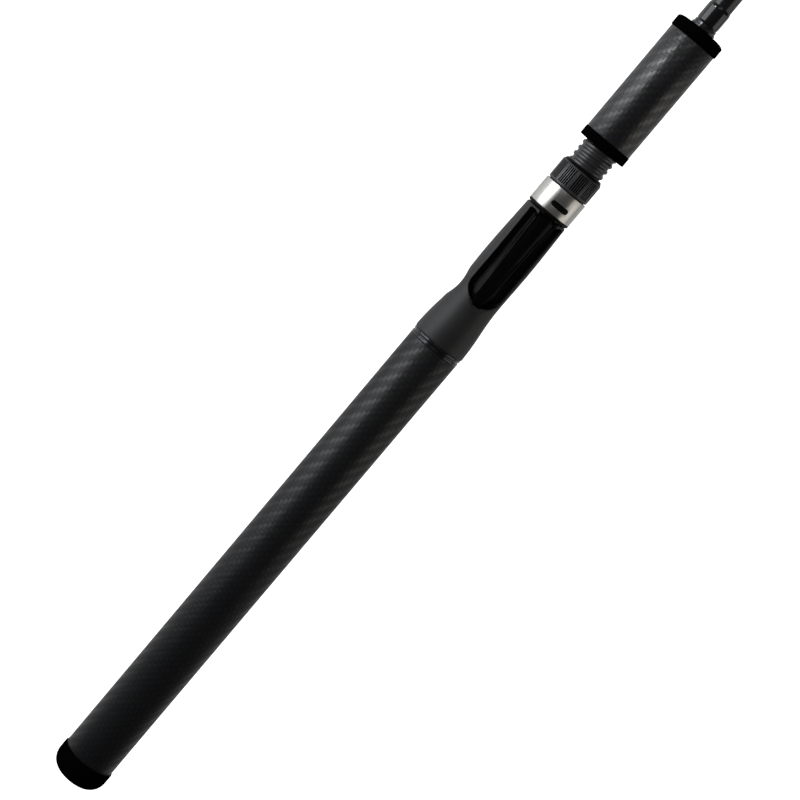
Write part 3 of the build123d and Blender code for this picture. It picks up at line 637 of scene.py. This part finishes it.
def moulded_copy(
    node: str, name: str, voxel: float, rounds: int, limit: int = 190000,
    trim: Sequence[bpy.types.Object] = (),
) -> bpy.types.Object:
    """Copy of a CAD node with its corners melted round, as moulding or resin leaves them.

    Args:
        node: the CAD node to copy.
        name: the new object's name.
        voxel: size of the remeshing grid in metres.
        rounds: number of smoothing passes.
        limit: most triangles that the piece may have.
        trim: cutters that take something away first.

    Returns:
        The new object, at the origin.
    """
    source = frame["nodes"][node]
    piece = bpy.data.objects.new(name, source.data.copy())
    bpy.context.scene.collection.objects.link(piece)
    piece.data.materials.clear()
    modify(piece, "WELD", merge_threshold=0.001 * MM)
    if trim:
        carve(piece, trim)
    modify(piece, "REMESH", mode="VOXEL", voxel_size=voxel)
    modify(piece, "SMOOTH", factor=0.5, iterations=rounds)
    triangles = sum(len(face.vertices) - 2 for face in piece.data.polygons)
    if triangles > limit:
        modify(piece, "DECIMATE", ratio=limit / triangles)
    only(piece)
    bpy.ops.object.shade_smooth()
    return piece


def dress(piece: bpy.types.Object, look: Look) -> None:
    """Gives a piece one finish in its only slot."""
    piece.data.materials.clear()
    piece.data.materials.append(look.value.material())


def take_over(piece: bpy.types.Object, look: Look, slot: str, body: str, *nodes: str) -> None:
    """Dresses a new piece and lets it stand for CAD nodes on their body."""
    dress(piece, look)
    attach(piece, body)
    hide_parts(*nodes)
    LOG.info("%s stands for %s: %d faces", piece.name, ", ".join(nodes), len(piece.data.polygons))


def span(node: str) -> tuple[float, float, float]:
    """First and last place of a node along the rod, and its greatest radius."""
    low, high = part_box(node)
    return low.x, high.x, high.y


# ---- handle ----
@dataclass
class Grips:
    """Rear grip and foregrip: caps and rings of foam, woven sleeves, trim ring."""

    sleeve_wall: float = 1.0 * MM
    sleeve_edge: float = 0.25 * MM
    foam_edge: float = 0.45 * MM
    cap_flat: float = 5.2 * MM
    cap_round: float = 9.0 * MM
    cap_steps: int = 14
    groove_start: float = 1.3 * MM
    groove_width: float = 0.8 * MM
    groove_depth: float = 0.7 * MM
    nose_end: float = 8.3 * MM
    nose_straight: float = 5.2 * MM
    nose_steps: int = 6
    cap_bore: float = 6.6 * MM
    cap_bore_depth: float = 6.0 * MM
    trim_bore: float = 6.4 * MM
    trim_edge: float = 0.18 * MM
    rear_ring_bore: float = 6.1 * MM
    front_ring_bore: float = 6.0 * MM

    def build(self) -> None:
        """Makes every piece of both grips."""
        self.cap()
        for node, look in (("rear_grip_tube", Look.carbon_weave), ("foregrip_tube", Look.fore_weave)):
            self.sleeve(node, look)
        self.trim()
        self.rear_ring()
        self.front_ring()

    def cap(self) -> None:
        """Butt cap: a slow round from its flat end into a straight skirt."""
        x0, x1, radius = span("butt_cap")
        rim = [(x0, self.cap_flat)]
        for step in range(1, self.cap_steps + 1):
            turn = pi / 2 * step / self.cap_steps
            run = self.cap_round * (1 - cos(turn)) ** 1.06
            rim.append((x0 + run, self.cap_flat + (radius - self.cap_flat) * sin(turn) ** 0.94))
        bore, bottom = self.cap_bore, x1 - self.cap_bore_depth
        piece = turned("butt_cap_skin", [*rim, (x1, radius), (x1, bore), (bottom, bore)], hollow=False)
        soften(piece, self.foam_edge, angle=50)
        take_over(piece, Look.eva_foam, "eva_foam", "butt_section", "butt_cap")

    def sleeve(self, node: str, look: Look) -> None:
        """Woven tube with broken edges."""
        x0, x1, radius = span(node)
        inner = radius - self.sleeve_wall
        piece = turned(node + "_skin", [(x0, inner), (x0, radius), (x1, radius), (x1, inner)], steps=192)
        soften(piece, self.sleeve_edge)
        take_over(piece, look, "carbon_weave", "butt_section", node)

    def trim(self) -> None:
        """Metal ring with one turned groove."""
        x0, x1, radius = span("rear_trim_ring")
        start, end = x0 + self.groove_start, x0 + self.groove_start + self.groove_width
        low = radius - self.groove_depth
        inner = self.trim_bore
        groove = [(start, radius), (start, low), (end, low), (end, radius)]
        outline = [(x0, inner), (x0, radius), *groove, (x1, radius), (x1, inner)]
        piece = turned("trim_ring_skin", outline, steps=160)
        soften(piece, self.trim_edge)
        take_over(piece, Look.black_metal, "black_metal", "butt_section", "rear_trim_ring")

    def rear_ring(self) -> None:
        """Foam ring behind the foregrip sleeve."""
        x0, x1, radius = span("foregrip_rear_ring")
        inner = self.rear_ring_bore
        piece = turned("foregrip_rear_skin", [(x0, inner), (x0, radius), (x1, radius), (x1, inner)])
        soften(piece, self.foam_edge, 3)
        take_over(piece, Look.eva_foam, "eva_foam", "butt_section", "foregrip_rear_ring")

    def front_ring(self) -> None:
        """Foam ring with a ground, rounded nose."""
        x0, x1, radius = span("foregrip_front_ring")
        start = x0 + self.nose_straight
        nose = []
        drop = radius - self.nose_end
        for step in range(self.nose_steps):
            turn = pi / 2 * step / self.nose_steps
            nose.append((start + (x1 - start) * sin(turn), self.nose_end + drop * cos(turn) ** 0.8))
        nose.append((x1, self.nose_end))
        inner = self.front_ring_bore
        piece = turned("foregrip_front_skin", [(x0, inner), (x0, radius), *nose, (x1, inner)])
        soften(piece, self.foam_edge, 3, 40)
        take_over(piece, Look.eva_foam, "eva_foam", "butt_section", "foregrip_front_ring")


@dataclass
class ReelSeat:
    """Seat moulding, sliding hood and lock nut."""

    voxel: float = 0.38 * MM
    hood_gap: float = 0.3 * MM
    thread_pitch: float = 3.5 * MM
    thread_minor: float = 9.0 * MM
    thread_major: float = 9.85 * MM
    ridge_top: float = 1.1 * MM
    ridge_root: float = 2.5 * MM
    bore: float = 7.2 * MM
    key_width: float = 3.0 * MM
    key_depth: float = 1.3 * MM
    bed_run: float = 11.0 * MM
    bed_height: float = 8.3 * MM
    bed_width: float = 11.74 * MM
    bed_cut: float = 10.0 * MM
    shell_wall: float = 0.7 * MM
    window_start: float = 3.4 * MM
    window_width: float = 3.0 * MM
    window_arc: float = 50.0
    neck_length: float = 3.0 * MM
    neck_radius: float = 10.55 * MM
    taper_length: float = 1.9 * MM
    nut_end_radius: float = 10.5 * MM
    nut_rear_edge: float = 0.5 * MM
    nut_front_edge: float = 0.35 * MM
    nut_bore: float = 10.0 * MM
    groups: int = 10
    per_group: int = 5
    groove_step: float = 5.6
    groove_width: float = 0.7 * MM
    groove_depth: float = 0.85 * MM
    groove_start: float = 1.3 * MM
    groove_length: float = 9.9 * MM

    def build(self) -> None:
        """Makes the seat, the hood and the nut."""
        front = span("hood_liner")[0] - self.hood_gap
        end = span("reel_seat_body")[1]
        ahead = block(((front + end) / 2 + 5 * MM, 0, 0), (end - front + 10 * MM, 40 * MM, 40 * MM))
        seat = moulded_copy("reel_seat_body", "reel_seat_skin", self.voxel, 3, trim=[ahead])
        take_over(seat, Look.seat_plastic, "seat_plastic", "butt_section", "reel_seat_body")
        self.barrel(front, end)
        self.shell()
        self.nut()

    def barrel(self, start: float, end: float) -> None:
        """Threaded barrel with its keyway below and the run of the foot's bed above.

        Args:
            start: where the seat's front face stands.
            end: the barrel's end.
        """
        low, high, pitch = self.thread_minor, self.thread_major, self.thread_pitch
        side = (self.ridge_root - self.ridge_top) / 2
        crest = (pitch - self.ridge_top) / 2
        steps = [(0, low), (crest - side, low), (crest, high), (crest + self.ridge_top, high)]
        steps += [(crest + self.ridge_top + side, low), (pitch, low)]
        first = start - 2 * pitch
        piece = traced("seat_barrel_skin", [(first + along, radius) for along, radius in steps])
        turns = int((end - first) / pitch) + 2
        modify(
            piece, "SCREW", axis="X", angle=2 * pi, screw_offset=pitch, iterations=turns, steps=72,
            render_steps=72, use_merge_vertices=True, merge_threshold=0.0001 * MM,
        )
        cut_end(piece, start - 0.5 * MM, False)
        cut_end(piece, end, True)
        only(piece)
        bpy.ops.object.mode_set(mode="EDIT")
        bpy.ops.mesh.select_all(action="SELECT")
        bpy.ops.mesh.normals_make_consistent(inside=False)
        bpy.ops.object.mode_set(mode="OBJECT")
        middle = (start + end) / 2
        bpy.ops.object.select_all(action="DESELECT")
        length = 2 * (end - start)
        bpy.ops.mesh.primitive_cylinder_add(
            vertices=96, radius=self.bore, depth=length, location=(middle, 0, 0), rotation=(0, pi / 2, 0)
        )
        bore = bpy.context.object
        settle(bore)
        carve(piece, [bore])
        keyway = block((middle, 0, -high), (length, self.key_width, 2 * self.key_depth))
        carve(piece, [keyway])
        run, rise = self.bed_run, self.bed_cut / 2
        centre = (start + run / 2 - MM, 0, self.bed_height + rise)
        carve(piece, [block(centre, (run + 2 * MM, self.bed_width, self.bed_cut))])
        soften(piece, 0.1 * MM, 2, 25)
        take_over(piece, Look.thread_plastic, "seat_plastic", "butt_section", "reel_seat_body")

    def shell(self) -> None:
        """Steel band with rolled edges and its oblong window."""
        x0, x1, radius = span("hood_shell")
        inner = radius - self.shell_wall
        piece = turned("hood_shell_skin", [(x0, inner), (x0, radius), (x1, radius), (x1, inner)], steps=192)
        carve(piece, [self.window(x0 + self.window_start + self.window_width / 2, radius)])
        soften(piece, 0.16 * MM, 3)
        take_over(piece, Look.stainless, "stainless", "hood", "hood_shell")

    def window(self, centre: float, radius: float) -> bpy.types.Object:
        """Cutter of the window: a disc drawn out across the band, then pushed down through it.

        Args:
            centre: the window's middle along the rod.
            radius: outer radius of the band.

        Returns:
            The cutter.
        """
        end = self.window_width / 2
        reach = radius * sin(radians(self.window_arc / 2)) - end
        bpy.ops.object.select_all(action="DESELECT")
        bpy.ops.mesh.primitive_circle_add(
            vertices=48, radius=end, location=(centre, 0, radius * 0.7), fill_type="NGON"
        )
        cutter = bpy.context.object
        settle(cutter)
        bpy.ops.object.mode_set(mode="EDIT")
        for side in (-1, 1):
            bpy.ops.mesh.select_all(action="DESELECT")
            bpy.ops.object.mode_set(mode="OBJECT")
            for vertex in cutter.data.vertices:
                vertex.select = abs(vertex.co.y) > end * 0.01 and vertex.co.y * side > 0
            bpy.ops.object.mode_set(mode="EDIT")
            bpy.ops.transform.translate(value=(0, side * reach, 0))
        bpy.ops.mesh.select_all(action="SELECT")
        bpy.ops.mesh.extrude_region_move(TRANSFORM_OT_translate={"value": (0, 0, radius * 0.6)})
        bpy.ops.mesh.select_all(action="SELECT")
        bpy.ops.mesh.normals_make_consistent(inside=False)
        bpy.ops.object.mode_set(mode="OBJECT")
        return cutter

    def nut(self) -> None:
        """Knurled nut: groups of fine grooves between smooth ribs, with a tapered front."""
        x0, x1, radius = span("lock_nut")
        face = x0 + self.neck_length
        neck, edge, end = self.neck_radius, self.nut_rear_edge, self.nut_end_radius
        outline = [
            (x0, self.nut_bore), (x0, neck), (face, neck), (face, radius - edge), (face + edge, radius),
            (x1 - self.taper_length, radius), (x1 - edge, end + self.nut_front_edge),
            (x1, end), (x1, self.nut_bore),
        ]
        piece = turned("lock_nut_skin", outline, steps=200)
        carve(piece, self.grooves(face + self.groove_start, radius))
        soften(piece, 0.07 * MM, 2, 35)
        take_over(piece, Look.nut_plastic, "nut_plastic", "lock_nut", "lock_nut")

    def grooves(self, start: float, radius: float) -> list[bpy.types.Object]:
        """Cutters of the knurl, one made and the rest copied round the nut."""
        bpy.ops.object.select_all(action="DESELECT")
        bpy.ops.mesh.primitive_cube_add(size=1, location=(start + self.groove_length / 2, 0, radius))
        first = bpy.context.object
        first.scale = (self.groove_length, self.groove_width, 2 * self.groove_depth)
        settle(first)
        soften(first, 0.12 * MM, 2)
        lead = -self.groove_step * (self.per_group - 1) / 2
        cutters = []
        for group in range(self.groups):
            for step in range(self.per_group):
                turn = 360 / self.groups * group + lead + self.groove_step * step
                copy = bpy.data.objects.new("groove", first.data.copy())
                copy.data.transform(Matrix.Rotation(radians(turn), 4, "X"))
                bpy.context.scene.collection.objects.link(copy)
                cutters.append(copy)
        bpy.data.objects.remove(first, do_unlink=True)
        return cutters


@dataclass
class Windings:
    """Winding check and the thread wraps of the handle and the ferrule, under resin."""

    resin: float = 0.45 * MM
    feather: float = 0.12
    count: int = 16
    check_bore: float = 6.0 * MM
    check_drop: float = 0.6 * MM
    steps: int = 96

    def build(self) -> None:
        """Makes the check and the wraps of the handle and the ferrule."""
        self.check()
        self.sleeve("handle_wrap", "butt_section")
        self.sleeve("ferrule_wrap", "tip_section")

    def check(self) -> None:
        """Small stepped metal ring that ends the foregrip."""
        x0, x1, radius = span("winding_check")
        inner = self.check_bore
        low = radius - self.check_drop
        shoulder = x0 + (x1 - x0) / 3
        outline = [
            (x0, inner), (x0, radius), (shoulder, radius), (shoulder + 0.5 * MM, low), (x1 - 0.3 * MM, low),
            (x1, low - 0.25 * MM), (x1, inner),
        ]
        piece = turned("winding_check_skin", outline, steps=self.steps)
        soften(piece, 0.18 * MM, 3)
        take_over(piece, Look.black_metal, "black_metal", "butt_section", "winding_check")

    def sleeve(self, node: str, body: str) -> None:
        """Thread under resin that swells from the blank and feathers out at both ends."""
        x0, x1, radius = span(node)
        base = radius - self.resin
        outline = []
        for step in range(self.count + 1):
            part = step / self.count
            swell = min(1.0, (sin(pi * part) * 2.4) ** 0.6) if 0 < part < 1 else 0.0
            outline.append((x0 + (x1 - x0) * part, base + self.resin * max(swell, self.feather)))
        piece = turned(node + "_skin", [(x0, base * 0.9), *outline, (x1, base * 0.9)], steps=self.steps)
        soften(piece, 0, angle=60)
        take_over(piece, Look.wrap_epoxy, "wrap_epoxy", body, node)


# ---- line guides ----
@dataclass
class LineGuides:
    """Frames and wraps of the guides and the tip-top, melted round like welds and resin."""

    frame_voxel: float = 0.24 * MM
    wrap_voxel: float = 0.26 * MM
    frame_rounds: int = 2
    wrap_rounds: int = 14
    frame_limit: int = 60000
    wrap_limit: int = 40000

    def build(self) -> None:
        """Makes each guide's frame and wraps, and finishes the ceramic rings."""
        for node, obj in frame["nodes"].items():
            body = obj["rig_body"]
            if node.endswith("_frame"):
                detail = self.frame_voxel, self.frame_rounds, self.frame_limit
                piece = moulded_copy(node, node + "_skin", *detail)
                take_over(piece, Look.guide_metal, "guide_metal", body, node)
            elif node.endswith(("_wraps", "tip_top_wrap")):
                detail = self.wrap_voxel, self.wrap_rounds, self.wrap_limit
                piece = moulded_copy(node, node + "_skin", *detail)
                take_over(piece, Look.wrap_epoxy, "wrap_epoxy", body, node)
            elif node.endswith("_ring") and "guide" in node or node == "tip_top_ring":
                dress(obj, Look.ring_ceramic)


# ---- studio ----
@dataclass(frozen=True)
class Panel:
    """Soft light, placed by its turn in degrees round the rod from the camera's side."""

    name: str
    turn: float
    reach: float
    size: Point
    power: float
    colour: Colour
    ahead: float = 0.0


PANELS = (
    Panel("key", -62, 1.5, (0.9, 1.3), 11, (0.95, 0.97, 1.0)),
    Panel("side", 82, 1.5, (0.8, 1.2), 3, (1.0, 0.96, 0.9)),
    Panel("spark", -48, 1.5, (0.22, 0.3), 4, (0.97, 0.98, 1.0), ahead=0.4),
)
TOP_PANEL = Panel("over", 0, 2.6, (2.0, 1.0), 4, (1, 1, 1), ahead=0.9)
TOP_WAY = (0.3, 0.2, 1)


@dataclass
class Studio:
    """Camera, floor and lights."""

    aim_along: float = 0.2595
    aim_across: float = 3.75 * MM
    distance: float = 1.32
    lean: float = 8.2
    roll: float = 14.0
    tilt: float = 49.835
    lens: float = 118.8
    floor_depth: float = 0.55

    def build(self) -> None:
        """Sets up the studio."""
        lean, roll, tilt = radians(self.lean), radians(self.roll), radians(self.tilt)
        back = Vector((sin(lean), cos(lean) * sin(roll), cos(lean) * cos(roll)))
        along = Vector((cos(lean), -sin(lean) * sin(roll), -sin(lean) * cos(roll)))
        across = along.cross(back)
        aim = Vector((self.aim_along, 0, 0)) + across * self.aim_across
        self.camera(aim, back, along * cos(tilt) + across * sin(tilt), along * sin(tilt) - across * cos(tilt))
        self.floor()
        for panel in PANELS:
            turn = radians(panel.turn)
            self.light(panel, aim, back * cos(turn) + across * sin(turn))
        self.light(TOP_PANEL, aim, Vector(TOP_WAY).normalized())
        bpy.context.scene.view_settings.view_transform = "Standard"
        world = bpy.data.worlds.new("studio")
        bpy.context.scene.world = world
        world.use_nodes = True
        g = Graph(world.node_tree)
        seen = g.node("ShaderNodeLightPath").outputs["Is Camera Ray"]
        shade = world.node_tree.nodes["Background"]
        shade.inputs["Color"].default_value = (1, 1, 1, 1)
        g.feed(shade.inputs["Strength"], g.blend(seen, 0.06, 1.2))

    def camera(self, aim: Vector, back: Vector, right: Vector, up: Vector) -> None:
        """Camera that looks at a point from in front of the reel side."""
        data = bpy.data.cameras.new("camera")
        data.lens = self.lens
        camera = bpy.data.objects.new("camera", data)
        bpy.context.scene.collection.objects.link(camera)
        turn = Matrix((right, up, back)).transposed().to_4x4()
        turn.translation = aim + back * self.distance
        camera.matrix_world = turn
        bpy.context.scene.camera = camera

    def floor(self) -> None:
        """Plain pale floor, well below the rod, lit from within like a light table."""
        bpy.ops.object.select_all(action="DESELECT")
        bpy.ops.mesh.primitive_plane_add(size=40, location=(1, 0, -self.floor_depth))
        floor = bpy.context.object
        floor.name = "floor"
        made = bpy.data.materials.new("floor")
        made.use_nodes = True
        g = Graph(made.node_tree)
        shader = made.node_tree.nodes["Principled BSDF"]
        shader.inputs["Base Color"].default_value = (0.85, 0.85, 0.85, 1)
        shader.inputs["Roughness"].default_value = 0.9
        shader.inputs["Emission Color"].default_value = (1, 1, 1, 1)
        seen = g.node("ShaderNodeLightPath").outputs["Is Camera Ray"]
        g.feed(shader.inputs["Emission Strength"], g.blend(seen, 0.25, 1.2))
        floor.data.materials.append(made)

    def light(self, panel: Panel, aim: Vector, way: Vector) -> None:
        """Soft rectangular light that faces the rod.

        Args:
            panel: the light's name, distance, size, power and colour.
            aim: the point that the camera looks at.
            way: direction from the rod to the light.
        """
        data = bpy.data.lights.new(panel.name, "AREA")
        data.shape = "RECTANGLE"
        data.size, data.size_y = panel.size
        data.energy = panel.power
        data.color = panel.colour
        lamp = bpy.data.objects.new(panel.name, data)
        bpy.context.scene.collection.objects.link(lamp)
        lamp.location = aim + Vector((panel.ahead, 0, 0)) + way * panel.reach
        lamp.rotation_mode = "QUATERNION"
        lamp.rotation_quaternion = (-way).to_track_quat("-Z", "Y")


KEPT_NODES = (
    "hood_liner", "blank_butt_section", "blank_tip_section", "rear_grip_core", "foregrip_core", "seat_arbors",
)


def dress_rest() -> None:
    """Finishes the CAD nodes that stay as they are."""
    slots = {part["node"]: part["material_slot"] for part in frame["record"]["subparts"]}
    for node in KEPT_NODES:
        dress(frame["nodes"][node], Look[slots[node]])
        LOG.info("%s keeps its shape and takes %s", node, slots[node])


def main() -> None:
    """Builds the rod's pieces, then the studio round them."""
    logging.basicConfig(level=logging.INFO, format="%(name)s: %(message)s")
    for assembly in (Grips(), ReelSeat(), Windings(), LineGuides()):
        assembly.build()
    dress_rest()
    Studio().build()


if __name__ == "__main__":
    main()
